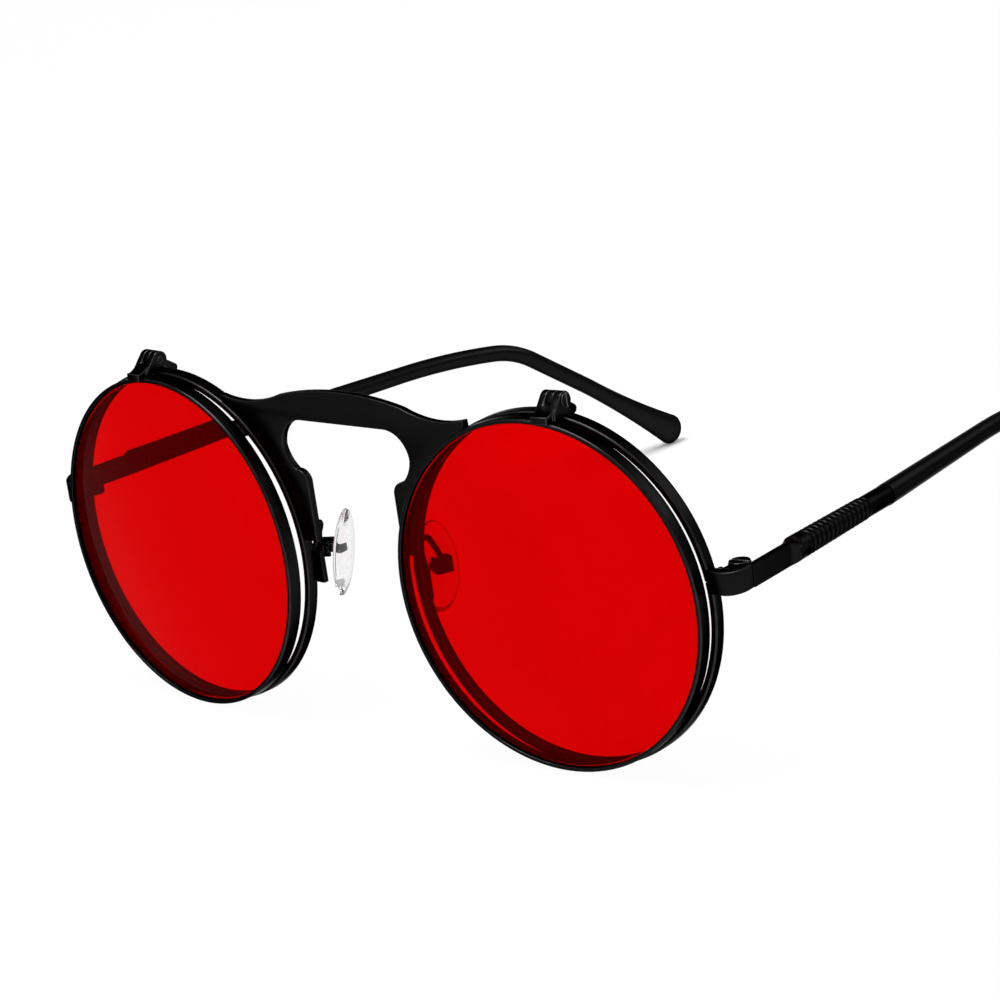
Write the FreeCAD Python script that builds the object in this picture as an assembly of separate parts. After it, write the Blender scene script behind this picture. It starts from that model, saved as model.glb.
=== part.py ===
"""Round flip-up sunglasses with tinted front lenses, in millimetres.

The front faces -Y, the temples run along +Y and +Z is up. The glasses stand on their two rims
and their two temple tips. Every function makes the piece on the +X side, the wearer's left, and
the right one is its mirror image. The model is drawn about the point midway between the lens
centres, on the front of the flip rings, and moved onto its standing origin at the end.
"""
import FreeCAD, Part
import math
import os

# Fronts: rear rims with clear lenses, flip rings with tinted lenses
RIM_SPACING = 21.68
FLIP_WRAP = 4.7
RIM_WRAP = 3.9
FLIP_INSET = 0.35
FLIP_WIDTH = 0.59
FLIP_DEPTH = 2.29
FRONT_GAP = 1.0
RIM_OUTER_R = 25.88
RIM_WIDTH = 0.87
RIM_DEPTH = 1.9
RING_ROUND = 0.3
GROOVE_DEPTH = 0.26
GROOVE_HALF = 0.42
LENS_THICK = 1.04
LENS_PLAY = 0.04

# Closing lugs of the split rim
LUG_REACH = 1.4
LUG_HEIGHT = 2.91
LUG_DROP = 0.31
RIM_SLIT = 0.25
RIM_SCREW_R = 0.37
RIM_HEAD_R = 0.57
RIM_HEAD_H = 0.52

# Bridge plate: its upper edge, then the keyhole and the two prongs below it
BRIDGE_FRONT = 2.1
BRIDGE_THICK = 1.14
BRIDGE_FALL = 0.03
BRIDGE_HEIGHT = 4.85
BROW_RUN = 5.95
BROW_FALL = 0.35
CREST_IN = 24.42
DIP_IN = 16.88
DIP_FALL = 2.78
WING_IN = 12.71
WING_LIFT = 0.61
WING_ROOT = 2.08
KEYHOLE_CORNER = 4.27
KEYHOLE_SWELL = 4.01
SHOULDER_FALL = 1.38
SHOULDER_IN = 1.17
WAIST_FALL = 4.15
CHEEK_IN = 0.68
CHEEK_FALL = 6.12
NECK_FALL = 7.6
PRONG_PROUD = 2.29
PRONG_FLARE = 0.49
PRONG_FLARE_FALL = 0.66
PRONG_FALL = 1.68
PRONG_BOTTOM = 2.49

# End pieces and temple hinges
END_REACH = 4.17
JOINT_Y = 7.86
JOINT_GAP = 0.15
END_Z = 4.13
END_HEIGHT = 3.27
END_THICK = 1.2
END_LAP = 0.75
END_SHANK = 0.1
END_RISE = 10.0
HINGE_IN = 2.79
HINGE_BACK = 1.64
KNUCKLE_R = 1.6
BARREL_HEIGHT = 2.9
BARREL_DROP = 0.45
KNUCKLE_NECK = 0.8
KNUCKLE_PLAY = 0.1
HINGE_SCREW_R = 0.52
HINGE_HEAD_R = 1.5
HINGE_HEAD_H = 0.24
RUNNING_FIT = 0.04
SLOT_WIDTH = 0.31

# Temples
TEMPLE_SPLAY = 6.31
TEMPLE_DROP = 1.39
ARM_TOE = 2.11
ARM_LIFT = 0.43
BAR_LENGTH = 10.4
BAR_THICK = 1.2
BAR_HEIGHT = 2.95
NECK_R = 1.83
RIB_START = 12.8
RIB_LENGTH = 17.0
RIB_COUNT = 14
RIB_HEIGHT = 0.23
RIB_TAPER = 0.18
COLLAR_R = 1.56
SLEEVE_END = 36.3
CORE_R = 0.62
CORE_FIT = 0.03
CORE_START = 14.56
ARM_R = 1.39
ARM_ROOT_R = 1.62
BOW_START = 30.16
BOW_R = 138.3
BOW_ANGLE = 8.24
BEND_R = 20.19
BEND_ANGLE = 25.9
TIP_PLAIN = 14.0
TIP_MIDDLE = 25.3
TIP_LENGTH = 35.38
TIP_MIDDLE_HALF = 1.73
TIP_END_HALF = 2.65
TIP_SAG_MIDDLE = 0.33
TIP_SAG_END = 0.55

# Flip hinges, in the flip ring's own frame
FLIP_HINGE_X = 3.39
FLIP_HINGE_BACK = 0.67
FLIP_HINGE_RISE = 1.84
FLIP_KNUCKLE_R = 1.3
FLIP_KNUCKLE_W = 1.09
FLIP_KNUCKLE_PLAY = 0.08
FLIP_PIN_R = 0.42
FLIP_HEAD_R = 1.05
FLIP_HEAD_W = 0.2
FOOT_WIDTH = 2.7
FOOT_PROUD = 0.31
FOOT_RISE = 0.62
FOOT_DROP = 1.14
TAIL_REACH = 3.23
TAIL_DROP = 2.23
TAIL_END_R = 0.65

# Nose pads and their wire arms
PAD_IN = 0.63
PAD_Y = 6.89
PAD_Z = -0.11
PAD_YAW = -23.5
PAD_HALF_WIDTH = 2.97
PAD_HALF_HEIGHT = 6.58
PAD_THICK = 1.4
PAD_STAND = 0.88
PAD_DROP = 0.95
PAD_ROUND = 0.5
BOX_WIDTH = 2.6
BOX_HEIGHT = 2.29
BOX_FRONT = 0.62
BOX_BACK = 1.35
BOX_WALL = 0.47
INSERT_R = 0.64
INSERT_PLAY = 0.12
INSERT_EMBED = 0.6
PAD_SCREW_R = 0.33
PAD_HEAD_R = 0.62
PAD_HEAD_H = 0.36
WIRE_R = 0.44
WIRE_BEND = 0.62
WIRE_CLEAR = 0.1
WIRE_FOOT_TOP = 0.48
WIRE_FOOT_BOTTOM = -4.38
WIRE_FOOT_WIDTH = 1.56
WIRE_TOP = 4.25
WIRE_TOP_OUT = 1.06
WIRE_LEAN = 0.76
WIRE_LOOP_X = 1.27
WIRE_LOOP_Y = 0.96

LENS_SPACING = RIM_SPACING + 2 * RIM_OUTER_R
FLIP_OUTER_R = RIM_OUTER_R - FLIP_INSET
RIM_FRONT = FLIP_DEPTH + FRONT_GAP
TEMPLE_X = LENS_SPACING / 2 + RIM_OUTER_R + END_REACH
HINGE_X = TEMPLE_X - HINGE_IN
HINGE_Y = JOINT_Y + HINGE_BACK
FLIP_HINGE_Y = RIM_FRONT + FLIP_HINGE_BACK
PAD_X = RIM_SPACING / 2 + PAD_IN
RIM_INNER_R = RIM_OUTER_R - RIM_WIDTH
FLIP_INNER_R = FLIP_OUTER_R - FLIP_WIDTH
FLIP_HINGE_Z = FLIP_OUTER_R + FLIP_HINGE_RISE
KNUCKLE_HEIGHT = (BARREL_HEIGHT - 2 * KNUCKLE_PLAY) / 3
BARREL_BOTTOM = END_Z - BARREL_HEIGHT / 2 - BARREL_DROP
FLIP_STEP = FLIP_KNUCKLE_W + FLIP_KNUCKLE_PLAY
UP = FreeCAD.Vector(0, 0, 1)
ALONG_X = FreeCAD.Vector(1, 0, 0)
ALONG_Y = FreeCAD.Vector(0, 1, 0)
ORIGIN = FreeCAD.Vector(0, 0, 0)
FAR = 30.0


def vec(x, y, z):
    return FreeCAD.Vector(x, y, z)


def box(x_range, y_range, z_range):
    low = vec(x_range[0], y_range[0], z_range[0])
    return Part.makeBox(x_range[1] - x_range[0], y_range[1] - y_range[0], z_range[1] - z_range[0], low)


def rod(radius, start, direction, length):
    return Part.makeCylinder(radius, length, start, direction)


def turned(edges):
    """A solid of revolution about Y from edges drawn in the XY plane, with X as the radius."""
    return Part.Face(Part.Wire(edges)).revolve(ORIGIN, ALONG_Y, 360)


def closed_lines(points):
    return Part.makePolygon(points + points[:1]).Edges


def prism(points, sweep):
    return Part.Face(Part.Wire(closed_lines(points))).extrude(sweep)


def moved(shape, place, yaw=0.0):
    copy = shape.copy()
    copy.rotate(ORIGIN, UP, yaw)
    copy.translate(place)
    return copy


def on_flip(shape):
    return moved(shape, vec(LENS_SPACING / 2, 0, 0), FLIP_WRAP)


def on_rim(shape):
    return moved(shape, vec(LENS_SPACING / 2, RIM_FRONT, 0), RIM_WRAP)


def pitched(shape, angle):
    copy = shape.copy()
    copy.rotate(ORIGIN, ALONG_X, angle)
    return copy


def on_temple(shape):
    return moved(pitched(shape, -TEMPLE_DROP), vec(TEMPLE_X, JOINT_Y + JOINT_GAP, END_Z), TEMPLE_SPLAY)


def on_arm(shape):
    """Places an arm at the end of its sleeve, toed in and lifted a little."""
    return on_temple(moved(pitched(shape, ARM_LIFT), vec(0, SLEEVE_END, 0), ARM_TOE))


def on_pad(shape):
    return moved(shape, vec(PAD_X, PAD_Y, PAD_Z), PAD_YAW)


def disc(radius, depth, margin=0.0):
    """A full disc on the optical axis, from the front face backwards."""
    return rod(radius, vec(0, -margin, 0), ALONG_Y, depth + 2 * margin)


def grooved_ring(inner_r, outer_r, depth):
    mid = depth / 2
    corners = [(inner_r, 0), (outer_r, 0), (outer_r, depth), (inner_r, depth),
               (inner_r, mid + GROOVE_HALF), (inner_r + GROOVE_DEPTH, mid), (inner_r, mid - GROOVE_HALF)]
    ring = turned(closed_lines([vec(r, y, 0) for r, y in corners]))
    rims = [edge for edge in ring.Edges
            if isinstance(edge.Curve, Part.Circle) and abs(edge.Curve.Radius - outer_r) < 1e-6]
    return ring.makeFillet(RING_ROUND, rims)


def bevelled_lens(inner_r, depth):
    mid = depth / 2
    edge_r = inner_r - LENS_PLAY
    front = mid - LENS_THICK / 2
    back = mid + LENS_THICK / 2
    corners = [(0, front), (edge_r, front), (edge_r, mid - GROOVE_HALF), (edge_r + GROOVE_DEPTH, mid),
               (edge_r, mid + GROOVE_HALF), (edge_r, back), (0, back)]
    return turned(closed_lines([vec(r, y, 0) for r, y in corners]))


def flip_ring():
    return on_flip(grooved_ring(FLIP_INNER_R, FLIP_OUTER_R, FLIP_DEPTH))


def red_lens():
    return on_flip(bevelled_lens(FLIP_INNER_R, FLIP_DEPTH))


def clear_lens():
    return on_rim(bevelled_lens(RIM_INNER_R, RIM_DEPTH))


def lug_z():
    return END_Z - LUG_DROP


def lug_screw_point(z):
    return vec(RIM_OUTER_R + LUG_REACH / 2, (RIM_DEPTH + END_LAP) / 2, z)


def rim():
    """The split eyewire with its two closing lugs, cut to bear on the end piece."""
    low = lug_z() - LUG_HEIGHT / 2
    high = lug_z() + LUG_HEIGHT / 2
    ring = grooved_ring(RIM_INNER_R, RIM_OUTER_R, RIM_DEPTH)
    lug = box((RIM_INNER_R, RIM_OUTER_R + LUG_REACH), (0, RIM_DEPTH), (low, high))
    lug = lug.cut(disc(RIM_OUTER_R - RIM_WIDTH / 3, RIM_DEPTH, RIM_DEPTH))
    slit = box((RIM_INNER_R - RIM_WIDTH, RIM_OUTER_R + 2 * LUG_REACH), (-RIM_DEPTH, 2 * RIM_DEPTH),
               (lug_z() - RIM_SLIT / 2, lug_z() + RIM_SLIT / 2))
    hole = rod(RIM_SCREW_R + RUNNING_FIT, lug_screw_point(low - LUG_HEIGHT), UP, 3 * LUG_HEIGHT)
    return on_rim(ring.fuse(lug).cut(slit).cut(hole)).cut(end_piece())


def rim_screw(grow=0.0):
    """The screw that closes the lugs; grown, it is the relief that the end piece leaves for it."""
    low = lug_z() - LUG_HEIGHT / 2
    shank = rod(RIM_SCREW_R + grow, lug_screw_point(low), UP, LUG_HEIGHT + grow)
    head = rod(RIM_HEAD_R + grow, lug_screw_point(low - RIM_HEAD_H - grow), UP, RIM_HEAD_H + grow)
    return on_rim(shank.fuse(head))


def arc(start, middle, end):
    return Part.Arc(start, middle, end).toShape()


def line(start, end):
    return Part.LineSegment(start, end).toShape()


def rounded_path(points, bends):
    """Edges along straight runs, joined at each inner point by a tangent arc of its bend radius."""
    edges = []
    start = points[0]
    for corner, after, bend in zip(points[1:-1], points[2:], bends):
        inward = corner.sub(start).normalize()
        outward = after.sub(corner).normalize()
        half_turn = inward.getAngle(outward) / 2
        setback = bend * math.tan(half_turn)
        first = corner.sub(inward * setback)
        last = corner.add(outward * setback)
        towards = outward.sub(inward).normalize()
        middle = corner.add(towards * (bend / math.cos(half_turn) - bend))
        edges += [line(start, first), arc(first, middle, last)]
        start = last
    edges.append(line(start, points[-1]))
    return edges


def end_strip():
    """The bent strip of the end piece, from the rim's front round and up to the temple joint."""
    low = END_Z - END_HEIGHT / 2
    wrap = math.radians(RIM_WRAP)
    start_x = LENS_SPACING / 2 + RIM_OUTER_R * math.cos(wrap) - END_LAP
    back_y = RIM_FRONT + RIM_OUTER_R * math.sin(wrap) + END_LAP
    front_y = back_y - END_THICK
    outer_x = TEMPLE_X + END_THICK / 2
    inner_x = TEMPLE_X - END_THICK / 2
    outer = [vec(start_x, front_y, low), vec(outer_x, front_y, low), vec(outer_x, JOINT_Y, low)]
    inner = [vec(inner_x, JOINT_Y, low), vec(inner_x, back_y, low), vec(start_x, back_y, low)]
    outer_edges = rounded_path(outer, [JOINT_Y - front_y - END_SHANK])
    inner_edges = rounded_path(inner, [JOINT_Y - back_y - END_SHANK])
    ends = [line(outer[-1], inner[0]), line(inner[-1], outer[0])]
    plan = Part.Face(Part.Wire(outer_edges + ends[:1] + inner_edges + ends[1:]))
    plan.rotate(vec(0, JOINT_Y, low), ALONG_X, END_RISE)
    return plan.extrude(vec(0, 0, END_HEIGHT)).cut(on_rim(disc(RIM_OUTER_R, RIM_DEPTH)))


def barrel(level, radius, height):
    """A cylinder on the temple hinge's axis, with its foot at the given height."""
    return rod(radius, vec(HINGE_X, HINGE_Y, level), UP, height)


def knuckle_level(index):
    return BARREL_BOTTOM + index * (KNUCKLE_HEIGHT + KNUCKLE_PLAY)


def end_piece():
    """The strip with the top and bottom knuckles of the temple hinge."""
    piece = end_strip()
    for index in (0, 2):
        level = knuckle_level(index)
        span = (level, level + KNUCKLE_HEIGHT)
        web = box((HINGE_X - KNUCKLE_NECK, TEMPLE_X), (JOINT_Y - END_THICK, JOINT_Y), span)
        neck = box((HINGE_X - KNUCKLE_NECK, HINGE_X + KNUCKLE_R), (JOINT_Y - END_THICK, HINGE_Y), span)
        piece = piece.fuse([web, neck, barrel(level, KNUCKLE_R, KNUCKLE_HEIGHT)])
    piece = piece.cut(barrel(BARREL_BOTTOM - FAR, HINGE_SCREW_R + RUNNING_FIT, 3 * FAR))
    return piece.cut(rim_screw(RUNNING_FIT))


def slotted(head, centre, slot_along, depth, length):
    """Cuts a screwdriver slot across a head: centre is on its face, slot_along its half lengths."""
    half = SLOT_WIDTH / 2
    spans = []
    for axis in range(3):
        reach = (half, length, depth)[slot_along[axis]]
        spans.append((centre[axis] - reach, centre[axis] + reach))
    return head.cut(box(*spans))


def temple_hinge_screw():
    top = BARREL_BOTTOM + BARREL_HEIGHT
    head = barrel(top, HINGE_HEAD_R, HINGE_HEAD_H)
    face = (HINGE_X, HINGE_Y, top + HINGE_HEAD_H)
    head = slotted(head, face, (1, 0, 2), HINGE_HEAD_H / 2, 2 * HINGE_HEAD_R)
    return barrel(BARREL_BOTTOM, HINGE_SCREW_R, BARREL_HEIGHT).fuse(head)


def sleeve_profile():
    """Neck, tapering ribs and collar as one outline, with each rib a bowed arc."""
    pitch = RIB_LENGTH / RIB_COUNT
    rib_end = RIB_START + RIB_LENGTH

    def root(index):
        return NECK_R - RIB_HEIGHT - RIB_TAPER * index / RIB_COUNT

    edges = [line(vec(0, BAR_LENGTH, 0), vec(NECK_R, BAR_LENGTH, 0)),
             line(vec(NECK_R, BAR_LENGTH, 0), vec(NECK_R, RIB_START, 0)),
             line(vec(NECK_R, RIB_START, 0), vec(root(0), RIB_START, 0))]
    for index in range(RIB_COUNT):
        start = RIB_START + index * pitch
        edges.append(arc(vec(root(index), start, 0), vec(root(index) + RIB_HEIGHT, start + pitch / 2, 0),
                         vec(root(index + 1), start + pitch, 0)))
    edges += [line(vec(root(RIB_COUNT), rib_end, 0), vec(COLLAR_R, rib_end, 0)),
              line(vec(COLLAR_R, rib_end, 0), vec(COLLAR_R, SLEEVE_END, 0)),
              line(vec(COLLAR_R, SLEEVE_END, 0), vec(0, SLEEVE_END, 0)),
              line(vec(0, SLEEVE_END, 0), vec(0, BAR_LENGTH, 0))]
    return edges


def temple_bar():
    """The flat bar and ribbed sleeve in one piece, with the middle knuckle of the hinge."""
    flat = box((-BAR_THICK / 2, BAR_THICK / 2), (0, BAR_LENGTH + NECK_R),
               (-BAR_HEIGHT / 2, BAR_HEIGHT / 2))
    sleeve = turned(sleeve_profile())
    bore = rod(CORE_R + CORE_FIT, vec(0, CORE_START, 0), ALONG_Y, SLEEVE_END)
    level = knuckle_level(1)
    web = box((HINGE_X, TEMPLE_X), (JOINT_Y + JOINT_GAP, HINGE_Y + KNUCKLE_R),
              (level, level + KNUCKLE_HEIGHT))
    knuckle = web.fuse(barrel(level, KNUCKLE_R, KNUCKLE_HEIGHT))
    hole = barrel(BARREL_BOTTOM - FAR, HINGE_SCREW_R + RUNNING_FIT, 3 * FAR)
    return on_temple(flat.fuse(sleeve).cut(bore)).fuse(knuckle).cut(hole)


def past_arc(shape, bend_r, angle):
    """Moves a shape from the start of a downward arc to its end."""
    turn = math.radians(angle)
    return moved(pitched(shape, -angle), vec(0, bend_r * math.sin(turn), bend_r * (math.cos(turn) - 1)))


def after_bow(shape):
    return moved(past_arc(shape, BOW_R, BOW_ANGLE), vec(0, BOW_START, 0))


def after_bend(shape):
    return after_bow(past_arc(shape, BEND_R, BEND_ANGLE))


def arc_rod(radius, bend_r, angle):
    section = Part.Face(Part.Wire(Part.makeCircle(radius, ORIGIN, ALONG_Y)))
    return section.revolve(vec(0, 0, -bend_r), ALONG_X, -angle)


def bent_rod(straight, radius):
    """A straight run, then the slow bow, the bend over the ear and the plain part of the tip."""
    bow = moved(arc_rod(radius, BOW_R, BOW_ANGLE), vec(0, BOW_START, 0))
    bend = after_bow(arc_rod(radius, BEND_R, BEND_ANGLE))
    return straight.fuse([bow, bend, after_bend(rod(radius, ORIGIN, ALONG_Y, TIP_PLAIN))])


def tip_section(distance, half_height, sag):
    """An upright oval across the tip; the turn takes X to Z, Y to X and Z to Y."""
    oval = Part.Ellipse(ORIGIN, half_height, ARM_R).toShape()
    oval.rotate(ORIGIN, vec(1, 1, 1), -120)
    oval.translate(vec(0, distance, -sag))
    return Part.Wire([oval])


def tip_cap():
    """The rounded end of the tip, as thick as the arm."""
    squeeze = FreeCAD.Matrix()
    squeeze.scale(ARM_R / TIP_END_HALF, 1, 1)
    cap = Part.makeSphere(TIP_END_HALF).transformGeometry(squeeze)
    return moved(cap, vec(0, TIP_LENGTH, -TIP_SAG_END))


def stand_pitch():
    """The angle between the floor, under the rims and the tips, and the front's own level."""
    heel = on_arm(after_bend(Part.Vertex(0, TIP_LENGTH, -TIP_SAG_END))).Point
    run = heel.y - RIM_FRONT - RIM_DEPTH / 2
    return math.degrees(math.atan2(RIM_OUTER_R + heel.z - TIP_END_HALF, run))


def temple_arm():
    """The slim arm with its bow, its bend and its flared, rounded tip."""
    sections = [tip_section(TIP_PLAIN, ARM_R, 0), tip_section(TIP_MIDDLE, TIP_MIDDLE_HALF, TIP_SAG_MIDDLE),
                tip_section(TIP_LENGTH, TIP_END_HALF, TIP_SAG_END)]
    flare = Part.makeLoft(sections, True)
    root = Part.makeCone(ARM_ROOT_R, ARM_R, BOW_START, ORIGIN, ALONG_Y)
    root = root.fuse(rod(ARM_ROOT_R, vec(0, -ARM_ROOT_R, 0), ALONG_Y, ARM_ROOT_R))
    arm = bent_rod(root, ARM_R).fuse([after_bend(flare), after_bend(tip_cap())])
    bore = bent_rod(rod(CORE_R + CORE_FIT, vec(0, -ARM_ROOT_R, 0), ALONG_Y, ARM_ROOT_R + BOW_START),
                    CORE_R + CORE_FIT)
    return on_arm(arm.cut(bore)).cut(on_temple(rod(FAR, ORIGIN, ALONG_Y, SLEEVE_END)))


def temple_core():
    """The wire core, from inside the sleeve through the toed-in arm to the tip."""
    shank = rod(CORE_R, vec(0, CORE_START, 0), ALONG_Y, SLEEVE_END - CORE_START)
    wire = bent_rod(rod(CORE_R, ORIGIN, ALONG_Y, BOW_START), CORE_R)
    return on_temple(shank).fuse(on_arm(wire))


def flip_knuckle(index):
    """One knuckle of the flip hinge; -1 and 1 belong to the leaf and 0 to the base."""
    start = FLIP_HINGE_X + index * FLIP_STEP - FLIP_KNUCKLE_W / 2
    return rod(FLIP_KNUCKLE_R, vec(start, FLIP_HINGE_Y, FLIP_HINGE_Z), ALONG_X, FLIP_KNUCKLE_W)


def flip_plate(index, outline):
    """A plate as wide as one knuckle, from an outline of Y and Z."""
    start = FLIP_HINGE_X + index * FLIP_STEP - FLIP_KNUCKLE_W / 2
    return prism([vec(start, y, z) for y, z in outline], vec(FLIP_KNUCKLE_W, 0, 0))


def flip_pin_hole():
    start = vec(FLIP_HINGE_X - FAR, FLIP_HINGE_Y, FLIP_HINGE_Z)
    return rod(FLIP_PIN_R + RUNNING_FIT, start, ALONG_X, 2 * FAR)


def flip_hinge_leaf():
    """The foot on the flip ring's top, a wall in front of the pin and arms to the outer knuckles."""
    foot_top = FLIP_OUTER_R + FOOT_RISE
    low = FLIP_OUTER_R - FOOT_DROP
    wall_y = FLIP_HINGE_Y - FLIP_KNUCKLE_R - FLIP_KNUCKLE_PLAY
    reach = FLIP_KNUCKLE_R * math.sqrt(0.5)
    side = FLIP_HINGE_X - FOOT_WIDTH / 2
    wall = [(-FOOT_PROUD, low), (FLIP_DEPTH, low), (wall_y, foot_top - FOOT_RISE / 2), (wall_y, FLIP_HINGE_Z),
            (FOOT_PROUD, foot_top), (-FOOT_PROUD, foot_top)]
    arm = [(FLIP_DEPTH / 2, low), (FLIP_DEPTH, low), (FLIP_HINGE_Y, FLIP_HINGE_Z - FLIP_KNUCKLE_R),
           (FLIP_HINGE_Y - reach, FLIP_HINGE_Z + reach), (FLIP_DEPTH / 2, foot_top)]
    leaf = prism([vec(side, y, z) for y, z in wall], vec(FOOT_WIDTH, 0, 0))
    for index in (-1, 1):
        leaf = leaf.fuse(flip_plate(index, arm)).fuse(flip_knuckle(index))
    leaf = on_flip(leaf.cut(disc(FLIP_OUTER_R, FLIP_DEPTH)).cut(flip_pin_hole()))
    return leaf.cut(on_rim(disc(RIM_OUTER_R + FLIP_KNUCKLE_PLAY, RIM_DEPTH, FLIP_KNUCKLE_PLAY)))


def flip_hinge_base():
    """The middle knuckle on the rear rim, with a round-ended stop tail behind it."""
    end_y = FLIP_HINGE_Y + TAIL_REACH
    end_z = FLIP_HINGE_Z - TAIL_DROP
    back_y = FLIP_HINGE_Y + FLIP_KNUCKLE_R * math.sqrt(0.5)
    lean = math.atan2(TAIL_DROP, TAIL_REACH)
    side_y = TAIL_END_R * math.sin(lean)
    side_z = TAIL_END_R * math.cos(lean)
    neck = [(RIM_FRONT, FLIP_INNER_R), (back_y, FLIP_INNER_R), (back_y, FLIP_HINGE_Z),
            (RIM_FRONT, FLIP_HINGE_Z)]
    tail = [(FLIP_HINGE_Y + side_y, FLIP_HINGE_Z + side_z), (end_y + side_y, end_z + side_z),
            (end_y, end_z - TAIL_END_R), (back_y, end_z - TAIL_END_R), (FLIP_HINGE_Y, FLIP_HINGE_Z)]
    start = FLIP_HINGE_X - FLIP_KNUCKLE_W / 2
    bead = rod(TAIL_END_R, vec(start, end_y, end_z), ALONG_X, FLIP_KNUCKLE_W)
    solids = [flip_plate(0, neck), flip_plate(0, tail), bead]
    base = on_flip(flip_knuckle(0).fuse(solids).cut(flip_pin_hole()))
    return base.cut(on_rim(disc(RIM_OUTER_R, RIM_DEPTH, GROOVE_HALF)))


def flip_hinge_pin():
    half = FLIP_STEP + FLIP_KNUCKLE_W / 2
    head_x = FLIP_HINGE_X + half
    shank = rod(FLIP_PIN_R, vec(FLIP_HINGE_X - half, FLIP_HINGE_Y, FLIP_HINGE_Z), ALONG_X, 2 * half)
    head = rod(FLIP_HEAD_R, vec(head_x, FLIP_HINGE_Y, FLIP_HINGE_Z), ALONG_X, FLIP_HEAD_W)
    face = (head_x + FLIP_HEAD_W, FLIP_HINGE_Y, FLIP_HINGE_Z)
    head = slotted(head, face, (2, 0, 1), FLIP_HEAD_W / 2, 2 * FLIP_HEAD_R)
    return on_flip(shank.fuse(head))


def bridge_half():
    """Half of the plate, from its middle to inside the rim's circle, where the rim then cuts it."""
    prong_x = RIM_SPACING / 2 - PRONG_PROUD
    waist_x = prong_x + KEYHOLE_SWELL
    lens_x = LENS_SPACING / 2
    inside_x = lens_x - RIM_INNER_R / 2
    crest_x = lens_x - CREST_IN
    top_z = RIM_OUTER_R - BRIDGE_FALL
    dip_z = RIM_OUTER_R - DIP_FALL
    arch_z = top_z - BRIDGE_HEIGHT
    neck_z = arch_z - NECK_FALL

    def at(x, z):
        return vec(x, BRIDGE_FRONT, z)

    middle = at(0, top_z)
    brow = at(crest_x - BROW_RUN, top_z - BROW_FALL)
    crest = at(crest_x, (top_z + dip_z) / 2)
    dip = at(lens_x - DIP_IN, dip_z)
    wing = at(lens_x - WING_IN, dip_z + WING_LIFT)
    corners = [wing, at(inside_x, dip_z - WING_ROOT), at(inside_x, PRONG_BOTTOM), at(prong_x, PRONG_BOTTOM),
               at(prong_x, neck_z - PRONG_FALL)]
    flare = at(prong_x + PRONG_FLARE, neck_z - PRONG_FLARE_FALL)
    neck = at((prong_x + waist_x) / 2, neck_z)
    cheek = at(waist_x - CHEEK_IN, arch_z - CHEEK_FALL)
    waist = at(waist_x, arch_z - WAIST_FALL)
    shoulder = at(waist_x - SHOULDER_IN, arch_z - SHOULDER_FALL)
    flat = at(waist_x - KEYHOLE_CORNER, arch_z)
    arch = at(0, arch_z)
    edges = [arc(middle, brow, crest), arc(crest, dip, wing)]
    edges += [line(first, last) for first, last in zip(corners, corners[1:])]
    edges += [arc(corners[-1], flare, neck), arc(neck, cheek, waist), arc(waist, shoulder, flat),
              line(flat, arch), line(arch, middle)]
    plate = Part.Face(Part.Wire(edges)).extrude(vec(0, BRIDGE_THICK, 0))
    return plate.cut(on_rim(disc(RIM_OUTER_R, RIM_DEPTH, FAR)))


def bridge():
    half = bridge_half()
    return half.fuse(half.mirror(ORIGIN, ALONG_X)).removeSplitter()


def round_wire(points, bend, radius):
    path = Part.Wire(rounded_path(points, [bend] * (len(points) - 2)))
    section = Part.Wire(Part.makeCircle(radius, points[0], points[1].sub(points[0])))
    return path.makePipeShell([section], True, True)


def pad_arm():
    """The looped wire from its soldered foot on the rim to the back of the pad box."""
    rim_x = LENS_SPACING / 2 - RIM_OUTER_R
    yaw = math.radians(PAD_YAW)
    end = vec(PAD_X + BOX_BACK * math.cos(yaw), PAD_Y + BOX_BACK * math.sin(yaw), PAD_Z + BOX_HEIGHT / 4)
    foot_x = rim_x + WIRE_R
    foot_y = BRIDGE_FRONT + BRIDGE_THICK + WIRE_CLEAR + WIRE_R
    loop = vec(rim_x - WIRE_TOP_OUT, foot_y + WIRE_LEAN, WIRE_TOP)
    points = [vec(foot_x, foot_y, WIRE_FOOT_BOTTOM + WIRE_R), vec(foot_x, foot_y, WIRE_FOOT_TOP),
              loop, loop.add(vec(WIRE_LOOP_X, WIRE_LOOP_Y, 0)), end]
    tab = box((foot_x - WIRE_FOOT_WIDTH, foot_x + WIRE_R), (BRIDGE_FRONT, foot_y + WIRE_R),
              (WIRE_FOOT_BOTTOM, WIRE_FOOT_TOP))
    arm = round_wire(points, WIRE_BEND, WIRE_R).fuse(tab)
    return arm.cut(on_rim(disc(RIM_OUTER_R, RIM_DEPTH))).cut(on_pad(pad_box_block()))


def pad_box_block():
    return box((-BOX_FRONT, BOX_BACK), (-BOX_WIDTH / 2, BOX_WIDTH / 2), (-BOX_HEIGHT / 2, BOX_HEIGHT / 2))


def insert_half():
    return BOX_WIDTH / 2 - BOX_WALL - INSERT_PLAY


def pad_box():
    """The cup that holds the pad's lug between two cheeks."""
    gap = BOX_WIDTH / 2 - BOX_WALL
    pocket = box((-FAR, BOX_BACK - BOX_WALL), (-gap, gap), (-FAR, FAR))
    hole = rod(PAD_SCREW_R + RUNNING_FIT, vec(0, -FAR, 0), ALONG_Y, 2 * FAR)
    return on_pad(pad_box_block().cut(pocket).cut(hole))


def pad_screw():
    half = BOX_WIDTH / 2
    shank = rod(PAD_SCREW_R, vec(0, -half, 0), ALONG_Y, 2 * half)
    head = rod(PAD_HEAD_R, vec(0, -half - PAD_HEAD_H, 0), ALONG_Y, PAD_HEAD_H)
    face = (0, -half - PAD_HEAD_H, 0)
    return on_pad(shank.fuse(slotted(head, face, (0, 2, 1), PAD_HEAD_H / 2, 2 * PAD_HEAD_R)))


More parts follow.
